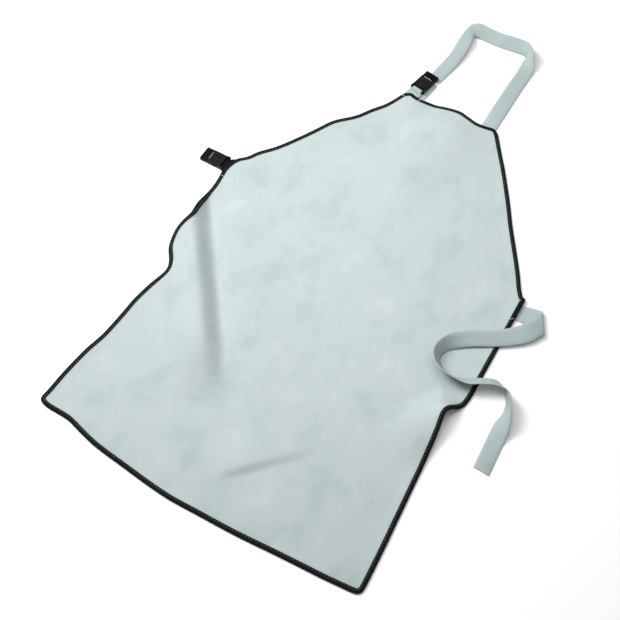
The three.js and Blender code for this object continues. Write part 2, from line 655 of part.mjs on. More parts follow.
// Tape stretches by the stations they start and end past. Corner pieces reach a little way along both edges.
const tapes = [
  { name: 'binding_hem', from: hemAt, fromPast: 0, to: rightSideAt, toPast: 0 },
  { name: 'binding_right_side', from: rightSideAt, fromPast: 0, to: rightArmAt, toPast: -42 },
  { name: 'binding_right_waist', from: rightArmAt, fromPast: -42, to: rightArmAt, toPast: 6 },
  { name: 'binding_right_armhole', from: rightArmAt, fromPast: 6, to: neckAt, toPast: -17 },
  { name: 'binding_right_bib', from: neckAt, fromPast: -17, to: neckAt, toPast: 28 },
  { name: 'binding_neck', from: neckAt, fromPast: 28, to: leftArmAt, toPast: -28 },
  { name: 'binding_left_bib', from: leftArmAt, fromPast: -28, to: leftArmAt, toPast: 12 },
  { name: 'binding_left_armhole', from: leftArmAt, fromPast: 12, to: leftSideAt, toPast: -13.8 },
  { name: 'binding_left_waist', from: leftSideAt, fromPast: -13.8, to: leftSideAt, toPast: 38 },
  { name: 'binding_left_side', from: leftSideAt, fromPast: 38, to: rim.length, toPast: 0 },
];

const apron = new THREE.Group();
apron.add(named('apron_body', apronGeometry(rim), paleLeather));
for (const { name, from, fromPast, to, toPast } of tapes) {
  const start = placePast(from, fromPast + tapeGap / 2);
  const end = placePast(to, toPast - tapeGap / 2);
  apron.add(named(name, tapeGeometry(rim, start, end), blackTape));
}
const neckStrapRun = [...neckStrapSections, ...alongBuckle(neckBuckle, neckTailSections)];
apron.add(named('neck_strap', ribbonGeometry(neckStrapRun, strapThickness, strapStep), strapLeather));
apron.add(named('waist_strap', ribbonGeometry(waistStrapSections, strapThickness, strapStep), strapLeather));
apron.add(buckleGroup('neck', neckBuckle, tabWidth.neckSeam, strapLeather));
apron.add(buckleGroup('waist', waistBuckle, tabWidth.waistSeam, blackTape));
apron.position.set(-middle.x, -middle.y, 0);

const part = new THREE.Group();
part.add(apron);
export default part;
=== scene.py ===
import math

import bpy
import numpy as np
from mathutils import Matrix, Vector, noise


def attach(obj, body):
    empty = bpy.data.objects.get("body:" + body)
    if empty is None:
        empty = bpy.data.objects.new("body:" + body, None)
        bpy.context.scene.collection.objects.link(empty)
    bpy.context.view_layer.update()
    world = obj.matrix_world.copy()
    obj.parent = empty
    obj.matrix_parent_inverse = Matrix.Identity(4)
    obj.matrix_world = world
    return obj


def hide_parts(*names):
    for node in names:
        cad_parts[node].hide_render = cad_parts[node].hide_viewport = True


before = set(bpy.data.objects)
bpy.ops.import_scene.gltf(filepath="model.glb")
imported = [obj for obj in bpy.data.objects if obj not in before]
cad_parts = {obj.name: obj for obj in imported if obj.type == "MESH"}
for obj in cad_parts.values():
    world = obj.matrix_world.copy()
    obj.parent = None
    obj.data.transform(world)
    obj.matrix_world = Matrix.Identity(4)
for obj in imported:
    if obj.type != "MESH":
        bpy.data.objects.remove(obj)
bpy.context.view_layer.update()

MM = 0.001

# The frame's origin, as a place on the flat cut.
MIDDLE = np.array([15.5, 540.87, 0.0])

# The camera: where it looks, how far off it is, and its angles.
VIEW_TARGET = (-10.0, 371.0, 0.0)
VIEW_DISTANCE = 1691.0
VIEW_AZIMUTH = 30.9
VIEW_ELEVATION = 60.9
VIEW_ANGLE = 35.0
SENSOR_WIDTH = 36

# The studio, in metres and watts.
FLOOR_HALF = 6.0
ROOM_STRENGTH = 0.35
LIGHTS = {
    "key": {"place": (-1.9, -0.1, 1.9), "aim": (0, 0, 0), "size": 1.2, "power": 66},
    "top": {"place": (-0.1, 0.06, 0.9), "aim": (-0.1, 0.06, 0), "size": 1.0, "power": 6.6},
}

# The cut leather, measured flat.
HEM_WIDTH = 604.0
WAIST_WIDTH = 604.0
BIB_WIDTH = 191.0
SKIRT_LENGTH = 577.0
BIB_LENGTH = 312.0
LEATHER = 1.8

# The tape folded over every edge.
CLEARANCE = 0.35
TAPE_WALL = 1.0
TAPE_REACH = 6.7
TAPE_GAP = 0.3
TAPE_STEP = 3.0
TAPE_ROWS_LEAST = 4

# The leather's edge is lifted by the tape under it, and comes down again over a short way.
RIM_LIFT = TAPE_WALL + CLEARANCE
RIM_FADE = 16.0

# The tape's folded section: distance inward from the cut edge, and height over the leather's underside.
TAPE_TOP = LEATHER + RIM_LIFT
TAPE_ROUND = 0.3
GROOVE = TAPE_REACH - 1.6
GROOVE_HALF = 0.6
GROOVE_DEPTH = 0.22
TAPE_SECTION = [
    (TAPE_REACH, LEATHER + CLEARANCE + 0.1),
    (TAPE_REACH, TAPE_TOP - TAPE_ROUND),
    (TAPE_REACH - TAPE_ROUND, TAPE_TOP),
    (GROOVE + GROOVE_HALF, TAPE_TOP),
    (GROOVE, TAPE_TOP - GROOVE_DEPTH),
    (GROOVE - GROOVE_HALF, TAPE_TOP),
    (3.4, TAPE_TOP + 0.12),
    (1.6, TAPE_TOP - 0.05),
    (0.3, TAPE_TOP - 0.45),
    (-0.8, TAPE_TOP - 1.15),
    (-RIM_LIFT, LEATHER / 2),
    (-RIM_LIFT + 0.1, 1.2 - RIM_LIFT),
    (-0.7, 0.4 - RIM_LIFT),
    (0.4, -RIM_LIFT),
    (TAPE_REACH - TAPE_ROUND, -RIM_LIFT),
    (TAPE_REACH, TAPE_ROUND - RIM_LIFT),
    (TAPE_REACH, -CLEARANCE),
    (TAPE_ROUND, -CLEARANCE),
    (-CLEARANCE, TAPE_ROUND),
    (-CLEARANCE, LEATHER - TAPE_ROUND),
    (TAPE_ROUND, LEATHER + CLEARANCE),
]

# Corner pieces of the tape stand proud by this much, at points of the section above the height.
CORNER_PROUD = 0.5
PROUD_ABOVE = LEATHER + CLEARANCE + 0.2

# One corner piece runs straight on from this distance past its corner's middle.
STRAIGHT_END = {"binding_right_waist": -9}

# The seam along the tape: place inward from the cut edge, and its stitches' size, spacing, slant and height.
SEAM_INWARD = 4.3
STITCH_LENGTH = 3.4
STITCH_RADIUS = 0.42
STITCH_SPACING = 5.4
STITCH_SLANT = 18
STITCH_LIFT = 0.1

# Thread ends across the tape's joins: corner, distance past its middle, slant across the tape and length.
THREAD_RADIUS = 0.55
THREAD_ENDS = [
    ("bib_left", -28, 62, 9),
    ("bib_left", 12, 108, 9),
    ("waist_left", 38, 75, 4),
    ("waist_right", -42, 125, 10),
    ("waist_right", 2, 80, 7),
]

# Rings of a thread or a bar: place along its length, and share of its radius.
CAPSULE_RINGS = [(-0.5, 0.35), (-0.36, 0.9), (0.36, 0.9), (0.5, 0.35)]
CAPSULE_SIDES = 6

# Low, broad waves of the split leather: height, and length across and along.
WAVES = [(0.9, 120, 75), (0.35, 46, 60)]

# The straps and tabs: thickness, the longest step along them, and the fewest steps between given rows.
STRAP_THICKNESS = 1.6
STRAP_STEP = 2.5
TAB_THICKNESS = 1.2
TAB_STEP = 1.5
STEPS_LEAST = 2

# Their section: points across a face, and the rounded edge, each point set back and up by a share.
STRAP_ROUND = 0.45
STRAP_FACE = (-1, -0.5, 0, 0.5, 1)
STRAP_EDGE = [(0.3, 0.7), (0.0, 0.0), (0.3, -0.7)]

# Corners of the cut as they lie: X, Y and the radius of the round.
CORNERS = {
    "hem_left": (-HEM_WIDTH / 2 - 1, -2, 9),
    "hem_right": (HEM_WIDTH / 2 + 0.5, -7.5, 10),
    "waist_right": (WAIST_WIDTH / 2 - 3, SKIRT_LENGTH - 6, 14),
    "bib_right": (BIB_WIDTH / 2, SKIRT_LENGTH + BIB_LENGTH - 1, 16),
    "bib_left": (-BIB_WIDTH / 2 + 2, SKIRT_LENGTH + BIB_LENGTH - 7, 24),
    "waist_left": (-WAIST_WIDTH / 2 + 4.3, SKIRT_LENGTH - 10.3, 60),
}

# Edges in order round the cut: corner, cells, and pairs of distance along and how far the edge lies inward.
EDGES = [
    ("hem_left", 150, [(0, 0), (14, -2), (30, -2), (62, -2), (90, -8.5), (123, -15), (150, -18),
                       (265, -25.5), (330, -23), (400, -19), (470, -12.2), (545, -6), (604, 0)]),
    ("hem_right", 150, [(0, 0), (55, 2), (130, 6.5), (220, 12), (243, 14.2), (275, 16.8), (297, 19.4),
                        (312, 22), (323, 22.3), (331, 18.5), (339, 10.5), (348, 4), (360, 0.8), (380, -0.5),
                        (410, 0), (578, 0)]),
    ("waist_right", 90, [(0, 0), (16, 2), (60, -0.5), (160, -1), (208, -2.9), (280, -3.4), (328, -1.8),
                         (375, 0)]),
    ("bib_right", 150, [(0, 0), (20, 2.8), (40, 5), (60, 1.6), (76, -2), (108, -2), (130, 0.8), (165, 5),
                        (189, 0)]),
    ("bib_left", 90, [(0, 0), (45, 4.6), (80, 2.9), (115, 4), (160, -4.1), (195, -0.9), (230, 2.4),
                      (285, 4.7), (325, 0.6), (345, 3.8), (357, 1.8), (375, 0)]),
    ("waist_left", 150, [(0, 0), (20, -2), (40, 0.2), (64, 1.9), (84, 1.9), (112, 6.9), (138, 14),
                         (150, 17), (189, 9.3), (222, 15.4), (242, 31.6), (258, 38), (270, 33.4),
                         (283, 28.2), (298, 24.8), (334, 19.9), (369, 18.8), (419, 15.6), (454, 8.4),
                         (509, 3.2), (544, 2.2), (571, 0)]),
]
ARC_CELLS = 6
OUTLINE_EASING = 4

# Folds: crest X0, Y0, X1, Y1, height at both ends, reach to the left and to the right, fade past the ends.
FOLDS = {
    "left_ridge": (-293, 424, -144, 234, 33, 28, 40, 75, 140),
    "middle_swell": (-230, 440, 30, 136, 5, 3, 110, 45, 70),
    "right_ridge": (278, 310, 232, 252, 19, 5, 85, 55, 42),
    "hem_swell": (44, 74, 92, 125, 5.5, 3.5, 70, 17, 62),
    "neck_wave": (22, 895, 16, 800, 9, 0, 60, 60, 60),
    "bib_swell": (21, 840, -5, 687, 7, 5, 95, 120, 55),
    "neck_strap_lift": (79, 900, 79, 862, 3.2, 3.2, 55, 55, 60),
    "neck_tab_lift": (-82, 900, -82, 868, 7.4, 7.4, 55, 55, 60),
    "waist_strap_lift": (305, 552, 266, 552, 3.2, 3.2, 55, 55, 60),
    "waist_tab_lift": (-306, 557, -270, 557, 5, 5, 55, 55, 60),
}

# Where the two buckles lie: X, Y, Z and the way each one points from its sewn end.
NECK_BUCKLE = (-82, 898.5, 2.2, 79)
WAIST_BUCKLE = (-303, 557, 0, 180)

# Raised bars over each buckle: distance along, half length and radius. The rim is the socket's, painted
# light grey as a highlight.
BUCKLE_TOP = 8.0
BUCKLE_RIBS = [(9.8, 9.5, 1.1), (14.8, 10, 1.1), (19.8, 10, 1.1), (24.8, 10, 1.1), (29.4, 10, 0.9)]
BUCKLE_RIM = (33.9, 9.5, 0.6)

# The buckles' moulded edges: the angles up to which faces are one flat, and past which an edge is rounded.
FLAT_ANGLE = 1
ROUND_ANGLE = 25
ROUND_WIDTH = 0.25
ROUND_SEGMENTS = 2

# Rows along a strap: X, Y, Z of its middle, the way its width points, how far that leans up, and its width.
NECK_STRAP = [
    (79, 866, 0.8, 0, 0, 31),
    (79, 900, 0.8, 0, 0, 31),
    (79, 1000, 0.8, 0, 0, 31),
    (80, 1040, 1.2, 0, 1, 30),
    (78, 1066, 4.5, -4, 14, 29),
    (75, 1078, 8.5, -25, 33, 28.5),
    (71, 1087, 12, -20, 56, 28),
    (66, 1094, 13, 40, 72, 28),
    (57, 1100, 12.2, 100, 52, 28),
    (44, 1102, 10.6, 104, 38, 28),
    (29, 1101, 10, 98, 36, 28),
    (6, 1099, 9, 95, 33, 28),
    (-11, 1099, 8.2, 95, 31, 28),
    (-26, 1099, 8.8, 98, 30, 28.5),
    (-38, 1100, 10, 105, 28, 29),
    (-47, 1099, 10.5, 113, 22, 29),
    (-54, 1096, 10.5, 123, 14, 28.5),
    (-57, 1090, 10.5, 135, 6, 28.5),
    (-58, 1081, 10.5, 147, -2, 28.5),
    (-58, 1071, 10.5, 158, -6, 28),
    (-57, 1056, 9.8, 174, -8, 28),
    (-56, 1014, 5.5, 178, -4, 28),
    (-62, 970, 2.2, 171, -1, 28),
]
WAIST_STRAP = [
    (272, 550, 0.8, 90, 0, 34),
    (302, 550, 0.8, 90, 0, 33),
    (318, 552, 1.4, 98, 0, 34),
    (334, 553.5, 3.2, 112, 0, 36),
    (345, 551, 6.5, 117, 0, 41),
    (342, 541, 9.5, 120, 3, 40),
    (326, 512, 10, 131, 9, 33),
    (290, 480.5, 9.5, 132, 14, 28.5),
    (258, 461, 10.5, 131, 18, 28),
    (238, 445.5, 11.5, 136, 27, 28),
    (223, 427.5, 13, 152, 45, 28),
    (217, 406.5, 14.5, 182, 56, 28),
    (224, 389.5, 15, 222, 61, 28),
    (242, 379.5, 15, 248, 62, 28),
    (266, 377.5, 15, 266, 60, 28),
    (287, 383.5, 15.6, 278, 45, 28),
    (305, 394.5, 15.6, 285, 45, 28),
    (325, 404.5, 13, 291, 47, 28),
    (344, 401, 14, 306, 60, 28),
    (358, 383, 14, 330, 74, 28),
    (364, 362, 11.5, 345, 60, 28),
    (366, 340, 5.5, 354, 24, 28),
    (368, 314, 1, 358, 1, 28),
    (371, 259, 0.8, 358, 0, 28),
]

# The neck strap's last rows, by its buckle: distance along it and aside, height over the surface, and width.
NECK_TAIL = [
    (54, -7, 0.9, 28.5),
    (46.6, -6.5, 1, 27.5),
    (45.7, -1.5, 1.5, 21),
    (45.2, -1, 2.2, 20),
    (44.5, -1, 4.2, 20),
    (43.4, -1, 5.4, 20),
    (40.6, -1, 5.4, 20),
    (39.5, -1, 4.2, 20),
    (38.8, -1, 2.2, 20),
    (38.3, -1.5, 1.5, 21),
    (37.4, -7, 1, 27),
    (33, -8.5, 0.8, 28),
    (22.5, -9.5, 0.8, 28),
    (-6.5, -11, 0.8, 28),
]

# A tab in its buckle's frame, round the bar and back: distance along, height, and how far it has spread.
TAB = [
    (-30, 2.1, 1),
    (-6, 2.1, 0.9),
    (-3, 3, 0.5),
    (-0.8, 4.4, 0),
    (3.3, 4.75, 0),
    (5, 3.6, 0),
    (5, 1.7, 0),
    (3.3, 0.62, 0),
    (-0.8, 0.6, 0),
    (-3, 0.6, 0.5),
    (-6, 0.6, 0.9),
    (-30, 0.6, 1),
]
TAB_AT_BAR = 21.0
NECK_TAB_SEWN = 29.0
WAIST_TAB_SEWN = 38.0

# Tape stretches: start corner and distance past its middle, end corner and distance past its middle.
TAPES = {
    "binding_hem": ("hem_left", 0, "hem_right", 0),
    "binding_right_side": ("hem_right", 0, "waist_right", -42),
    "binding_right_waist": ("waist_right", -42, "waist_right", 6),
    "binding_right_armhole": ("waist_right", 6, "bib_right", -17),
    "binding_right_bib": ("bib_right", -17, "bib_right", 28),
    "binding_neck": ("bib_right", 28, "bib_left", -28),
    "binding_left_bib": ("bib_left", -28, "bib_left", 12),
    "binding_left_armhole": ("bib_left", 12, "waist_left", -13.8),
    "binding_left_waist": ("waist_left", -13.8, "waist_left", 38),
    "binding_left_side": ("waist_left", 38, "hem_left", 0),
}

# Tones of the leather and the floor: place in the pattern, and colour.
HIDE_TONES = [
    (0.36, (0.352, 0.424, 0.420)),
    (0.45, (0.386, 0.451, 0.447)),
    (0.51, (0.406, 0.466, 0.464)),
    (0.57, (0.400, 0.458, 0.468)),
    (0.66, (0.438, 0.492, 0.494)),
]
STRAP_TONES = [
    (0.34, (0.286, 0.350, 0.342)),
    (0.45, (0.326, 0.396, 0.386)),
    (0.55, (0.332, 0.398, 0.406)),
    (0.66, (0.366, 0.434, 0.428)),
]
# The floor's tones are painted: darker near the apron to deepen its cast shadows, and paler away from it
# against the lamps' falloff.
FLOOR_PAINTED_SHADE_TONES = [(0.3, (0.97, 0.97, 0.97)), (0.6, (0.86, 0.86, 0.86))]

# How many times lighter the scuffs of the plastic are than the rest.
SCUFF = 1.8

# The scale of the wave that ribs the tape.
TAPE_RIBS = 320


def smooth_rows(values, places):
    """Points of a smooth curve through rows of values, at places counted in rows."""
    values = np.asarray(values, float)
    last = len(values) - 1
    start = np.minimum(np.floor(places).astype(int), last - 1)
    t = (places - start)[:, None]
    here = values[start]
    there = values[start + 1]
    slope0 = (there - values[np.maximum(start - 1, 0)]) / 2
    slope1 = (values[np.minimum(start + 2, last)] - here) / 2
    t2 = t * t
    t3 = t2 * t
    return ((2 * t3 - 3 * t2 + 1) * here + (t3 - 2 * t2 + t) * slope0
            + (3 * t2 - 2 * t3) * there + (t3 - t2) * slope1)


def lengths_along(points):
    """Distance travelled along a row of points, at each of them."""
    steps = np.linalg.norm(np.diff(points, axis=0), axis=1)
    return np.concatenate([[0], np.cumsum(steps)])


def shares_along(points):
    reach = lengths_along(points)
    return reach / reach[-1]


def pull_at(pull, distances):
    """How far an edge lies inward at distances along it."""
    table = np.array(pull, float)
    k = np.clip(np.searchsorted(table[:, 0], distances) - 1, 0, len(table) - 2)
    t = np.clip((distances - table[k, 0]) / (table[k + 1, 0] - table[k, 0]), 0, 1)
    return smooth_rows(table[:, 1:], k + t)[:, 0]


def fade_out(distance, reach):
    """A smooth fall from 1 to 0 over a reach."""
    share = np.clip(np.abs(distance) / reach, 0, 1)
    return 0.5 * (1 + np.cos(np.pi * share))


def fold_height(x, y):
    """Height of the leather's underside above the surface, from the folds."""
    height = np.zeros_like(x)
    for x0, y0, x1, y1, rise0, rise1, left, right, fade in FOLDS.values():
        length = math.hypot(x1 - x0, y1 - y0)
        dir_x = (x1 - x0) / length
        dir_y = (y1 - y0) / length
        along = (x - x0) * dir_x + (y - y0) * dir_y
        aside = (y - y0) * dir_x - (x - x0) * dir_y
        past = np.maximum(np.maximum(-along, along - length), 0)
        rise = rise0 + (rise1 - rise0) * np.clip(along / length, 0, 1)
        height += rise * fade_out(past, fade) * fade_out(aside, np.where(aside > 0, left, right))
    return height


def slope_factor(x, y):
    """Upright thickness of the sloping sheet for each millimetre of its true thickness."""
    step = 4.0
    slope_x = (fold_height(x + step, y) - fold_height(x - step, y)) / (2 * step)
    slope_y = (fold_height(x, y + step) - fold_height(x, y - step)) / (2 * step)
    return np.sqrt(1 + slope_x ** 2 + slope_y ** 2)


def corner_at(name):
    return np.array(CORNERS[name][:2], float)


def corner_arc(name, before, after):
    """The round at a corner: the length it takes from each edge, and points at shares of its turn."""
    at = corner_at(name)
    radius = CORNERS[name][2]
    into = at - corner_at(before)
    into /= np.linalg.norm(into)
    out = corner_at(after) - at
    out /= np.linalg.norm(out)
    turn = math.acos(into @ out)
    tangent = radius * math.tan(turn / 2)
    start = at - into * tangent
    centre = start + radius * np.array([-into[1], into[0]])

    def points(shares):
        angles = turn * np.asarray(shares)
        offset = start - centre
        turned_x = offset[0] * np.cos(angles) - offset[1] * np.sin(angles)
        turned_y = offset[0] * np.sin(angles) + offset[1] * np.cos(angles)
        return centre + np.column_stack([turned_x, turned_y])

    return tangent, points


def cut_outline():
    """Points round the cut, and the index of each corner's middle among them."""
    names = [corner for corner, _, _ in EDGES]
    half_arc = ARC_CELLS // 2
    points = []
    corner_index = {}
    for k, (name, cells, pull) in enumerate(EDGES):
        following = names[(k + 1) % len(names)]
        start_tangent, start_points = corner_arc(name, names[k - 1], following)
        end_tangent, end_points = corner_arc(following, name, names[(k + 2) % len(names)])
        start = corner_at(name)
        along = corner_at(following) - start
        length = np.linalg.norm(along)
        along /= length
        inward = np.array([-along[1], along[0]])
        distance = np.linspace(start_tangent, length - end_tangent, cells + 1)
        depth = pull_at(pull, distance)
        depth[[0, -1]] = 0
        corner_index[name] = sum(len(part) for part in points)
        points.append(start_points(0.5 + np.arange(half_arc) / ARC_CELLS))
        points.append(start + distance[:, None] * along + depth[:, None] * inward)
        points.append(end_points(np.arange(1, half_arc) / ARC_CELLS))
    outline = np.concatenate(points)
    for _ in range(OUTLINE_EASING):
        outline = (np.roll(outline, 1, axis=0) + 2 * outline + np.roll(outline, -1, axis=0)) / 4
    return outline, corner_index


def rim_table():
    """Rows round the rim: X, Y, height and slope factor of the cut edge, then of a point inside it."""
    edge, corner_index = cut_outline()
    along = np.roll(edge, -1, axis=0) - np.roll(edge, 1, axis=0)
    along /= np.linalg.norm(along, axis=1)[:, None]
    inner = edge + TAPE_REACH * np.column_stack([-along[:, 1], along[:, 0]])
    columns = []
    for at in (edge, inner):
        columns += [at, fold_height(at[:, 0], at[:, 1]) + RIM_LIFT, slope_factor(at[:, 0], at[:, 1])]
    return np.column_stack(columns), corner_index


def rim_reach(rim):
    """Distance along the cut edge at each row of the rim, and at its first row again after a whole turn."""
    return lengths_along(np.concatenate([rim[:, :2], rim[:1, :2]]))


def rim_at(rim, reach, places):
    """Rows of the rim at distances along the cut edge, counted on past a whole turn."""
    closed = np.concatenate([rim, rim[:1]])
    places = np.mod(places, reach[-1])
    return np.column_stack([np.interp(places, reach, column) for column in closed.T])


def new_piece(name, points, faces, slot, uv=None, finish=None):
    """A smooth mesh object from points in millimetres, with its faces turned outward, riding on the root."""
    points = np.asarray(points, float)
    fans = np.array([(face[0], face[k], face[k + 1]) for face in faces for k in range(1, len(face) - 1)])
    first, second, third = np.moveaxis(points[fans] - points.mean(axis=0), 1, 0)
    if np.sum(first * np.cross(second, third)) < 0:
        faces = [face[::-1] for face in faces]
    mesh = bpy.data.meshes.new(name)
    mesh.from_pydata(((points - MIDDLE) * MM).tolist(), [], faces)
    if uv is not None:
        layer = mesh.uv_layers.new(name="UVMap")
        index = np.empty(len(mesh.loops), int)
        mesh.loops.foreach_get("vertex_index", index)
        layer.data.foreach_set("uv", (np.asarray(uv)[index] * MM).ravel())
    mesh.shade_smooth()
    piece = bpy.data.objects.new(name, mesh)
    bpy.context.scene.collection.objects.link(piece)
    piece.data.materials.append(MATERIALS[finish or slot])
    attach(piece, "root")
    return piece


def grid_faces(index):
    """Quads between the rows and columns of a grid of vertex numbers."""
    quads = np.stack([index[:-1, :-1], index[:-1, 1:], index[1:, 1:], index[1:, :-1]], axis=-1)
    return quads.reshape(-1, 4).tolist()


def swept(rows):
    """Points and faces of a closed solid swept through rows of section points."""
    count, size = rows.shape[:2]
    index = np.arange(count * size).reshape(count, size)
    faces = grid_faces(np.column_stack([index, index[:, :1]]))
    faces.append(index[0, ::-1].tolist())
    faces.append(index[-1].tolist())
    return rows.reshape(-1, 3), faces


def capsule(middle, way, up, length, radius):
    """Points and faces of a short thread or bar that lies along one way."""
    side = np.cross(up, way)
    angles = np.arange(CAPSULE_SIDES) * 2 * np.pi / CAPSULE_SIDES
    ring = np.cos(angles)[:, None] * side + np.sin(angles)[:, None] * up
    rows = [middle + along * length * way + share * radius * ring for along, share in CAPSULE_RINGS]
    return swept(np.array(rows))


def joined(solids):
    """Points and faces of several solids as one."""
    vertices = []
    faces = []
    for points, quads in solids:
        faces += [[corner + len(vertices) for corner in quad] for quad in quads]
        vertices += points.tolist()
    return vertices, faces


def edge_distance(x, y, edge):
    """Distance of each point from the nearest point of the cut edge."""
    nearest = np.full(x.shape, np.inf)
    for at in edge:
        nearest = np.minimum(nearest, np.hypot(x - at[0], y - at[1]))
    return nearest


def leather_waves(x, y):
    """Height of the leather's own low waves, never below the surface."""
    height = np.zeros_like(x)
    for rise, across, along in WAVES:
        places = zip(x / across, y / along)
        height += rise * (0.5 + 0.5 * np.array([noise.noise(Vector((u, v, rise))) for u, v in places]))
    return height


def make_apron(rim):
    """The cut leather: a ring under the tape and a fine grid between its four sides."""
    count = len(rim)
    across = EDGES[0][1] + ARC_CELLS
    lengthwise = count // 2 - across
    ring = np.arange(count + 1) % count
    bottom_ring = ring[:across + 1]
    right_ring = ring[across:across + lengthwise + 1]
    top_ring = ring[across + lengthwise:2 * across + lengthwise + 1][::-1]
    left_ring = ring[2 * across + lengthwise:][::-1]
    inner = rim[:, 4:6]
    bottom = inner[bottom_ring]
    right = inner[right_ring]
    top = inner[top_ring]
    left = inner[left_ring]
    u = ((shares_along(bottom) + shares_along(top)) / 2)[None, :, None]
    v = ((shares_along(left) + shares_along(right)) / 2)[:, None, None]
    ends = (1 - u) * (1 - v) * bottom[0] + u * (1 - v) * bottom[-1] + (1 - u) * v * top[0] + u * v * top[-1]
    grid = (1 - v) * bottom[None] + v * top[None] + (1 - u) * left[:, None] + u * right[:, None] - ends

    inside = grid[1:-1, 1:-1].reshape(-1, 2)
    x, y = inside.T
    depth = edge_distance(x, y, rim[:, :2]) - TAPE_REACH
    rim_share = fade_out(np.maximum(depth, 0), RIM_FADE)
    z = fold_height(x, y) + RIM_LIFT * rim_share + leather_waves(x, y) * (1 - rim_share)
    sheet = np.concatenate([rim[:, :4], rim[:, 4:], np.column_stack([x, y, z, slope_factor(x, y)])])

    index = np.empty(grid.shape[:2], int)
    index[0] = count + bottom_ring
    index[:, -1] = count + right_ring
    index[-1] = count + top_ring
    index[:, 0] = count + left_ring
    index[1:-1, 1:-1] = 2 * count + np.arange(len(inside)).reshape(index.shape[0] - 2, index.shape[1] - 2)
    faces = grid_faces(np.stack([ring, count + ring])) + grid_faces(index)
    under = sheet[:, :3]
    over = under + np.column_stack([np.zeros((len(sheet), 2)), LEATHER * sheet[:, 3]])
    over_faces = [[corner + len(sheet) for corner in face] for face in faces]
    under_faces = [face[::-1] for face in faces]
    wall = grid_faces(np.stack([ring, ring + len(sheet)]))
    piece = new_piece("leather_body", np.concatenate([under, over]), over_faces + under_faces + wall, "hide")
    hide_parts("apron_body")


def make_tapes(rim, reach, corner_index):
    """A folded tape over each stretch of the rim."""
    section = np.array(TAPE_SECTION)
    round_section = lengths_along(section)
    share = (section[:, 0] / TAPE_REACH)[None, :, None]
    for name, (start, start_past, end, end_past) in TAPES.items():
        first = reach[corner_index[start]] + start_past + TAPE_GAP / 2
        last = reach[corner_index[end]] + end_past - TAPE_GAP / 2
        if last < first:
            last += reach[-1]
        places = np.linspace(first, last, max(int((last - first) / TAPE_STEP), TAPE_ROWS_LEAST))
        rows = rim_at(rim, reach, places)
        if name in STRAIGHT_END:
            turn = reach[corner_index[end]] + STRAIGHT_END[name]
            before, at = rim_at(rim, reach, np.array([turn - 1, turn]))
            straight = places > turn
            rows[straight] = at
            for column in (0, 4):
                rows[straight, column:column + 2] += (places[straight] - turn)[:, None] * (at - before)[:2]
        proud = CORNER_PROUD if start == end else 0
        blend = rows[:, None, :4] * (1 - share) + rows[:, None, 4:] * share
        points = blend[:, :, :3].copy()
        rise = section[:, 1] + proud * (section[:, 1] > PROUD_ABOVE)
        points[:, :, 2] += rise * np.where(rise > 0, blend[:, :, 3], 1)
        points[:, :, 2] = np.maximum(points[:, :, 2], 0)
        uv = np.stack(np.broadcast_arrays((places - first)[:, None], round_section[None, :]), axis=-1)
        vertices, faces = swept(points)
        piece = new_piece(name + "_tape", vertices, faces, "edge_tape", uv.reshape(-1, 2))
        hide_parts(name)


def make_stitches(rim, reach, corner_index):
    """The seam along the tape, and light thread ends over its joins."""
    seam = np.arange(STITCH_SPACING / 2, reach[-1], STITCH_SPACING)
    stitches = [(place, STITCH_SLANT, STITCH_LENGTH) for place in seam]
    ends = [(reach[corner_index[corner]] + past, slant, length)
            for corner, past, slant, length in THREAD_ENDS]
    sets = [("tape_seam", "edge_thread", stitches, STITCH_RADIUS, 0),
            ("thread_ends", "loose_thread", ends, THREAD_RADIUS, CORNER_PROUD)]
    share = SEAM_INWARD / TAPE_REACH
    for name, finish, threads, radius, lift in sets:
        places, slants, lengths = np.array(threads).T
        before, rows, after = (rim_at(rim, reach, places + shift) for shift in (-1, 0, 1))
        solids = []
        for row, from_row, to_row, slant, length in zip(rows, before, after, np.radians(slants), lengths):
            edge = row[:4] * (1 - share) + row[4:] * share
            inward = row[4:7] - row[:3]
            inward /= np.linalg.norm(inward)
            along = to_row[:3] - from_row[:3]
            along -= inward * (along @ inward)
            along /= np.linalg.norm(along)
            middle = edge[:3] + [0, 0, TAPE_TOP * edge[3] + lift + STITCH_LIFT]
            way = math.cos(slant) * along + math.sin(slant) * inward
            solids.append(capsule(middle, way, np.cross(along, inward), length, radius))
        vertices, faces = joined(solids)
        new_piece(name, vertices, faces, "edge_tape", finish=finish)


def along_buckle(place, rows):
    """Rows given along a buckle, as rows of a strap whose width lies across it."""
    x, y, z, turn_deg = place
    turn = math.radians(turn_deg)
    return [(x + u * math.cos(turn) - v * math.sin(turn), y + u * math.sin(turn) + v * math.cos(turn),
             height + z, turn_deg + 90, 0, width) for u, v, height, width in rows]


def strap_section(thickness):
    """Points round a strap: share of half its width, shift along its width, and height over its middle."""
    level = thickness / 2
    half_round = [(side, -STRAP_ROUND * side if abs(side) == 1 else 0, level) for side in STRAP_FACE]
    half_round += [(1, -STRAP_ROUND * back, level * up) for back, up in STRAP_EDGE]
    half_round = np.array(half_round)
    return np.concatenate([half_round, -half_round])


